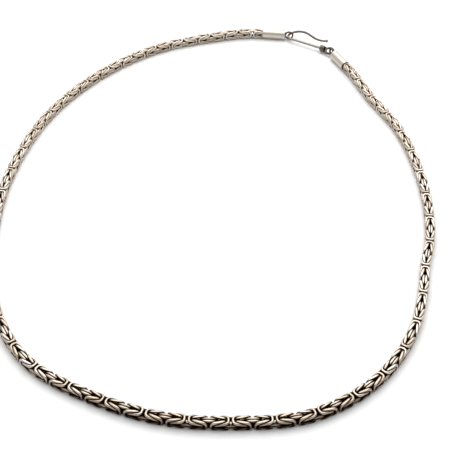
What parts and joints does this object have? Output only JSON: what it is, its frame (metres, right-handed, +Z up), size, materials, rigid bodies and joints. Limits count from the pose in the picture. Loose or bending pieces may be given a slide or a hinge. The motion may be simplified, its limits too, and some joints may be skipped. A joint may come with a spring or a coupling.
{
  "type": "byzantine chain necklace",
  "caption": "Byzantine weave neck chain, rounded square section, with round end caps and a wire hook clasp, lying closed in a loop.",
  "frame": {"origin": "centre of the bounding box, on the surface that the necklace lies on", "axes": "+Z up from the surface, +Y towards the clasp, +X to the right as seen from the front"},
  "size_m": [0.1354, 0.1849, 0.0035],
  "materials": {
    "oxidised_silver": "polished silver links, dark tarnish in the recesses of the weave",
    "polished_silver": "polished silver with fine scratches",
    "hook_silver": "polished silver wire, darker between the turns of the coil"
  },
  "bodies": {
    "root": {"chain": "oxidised_silver", "end_cap_catch_side": "polished_silver", "end_cap_hook_side": "polished_silver", "hook": "hook_silver"}
  },
  "joints": []
}
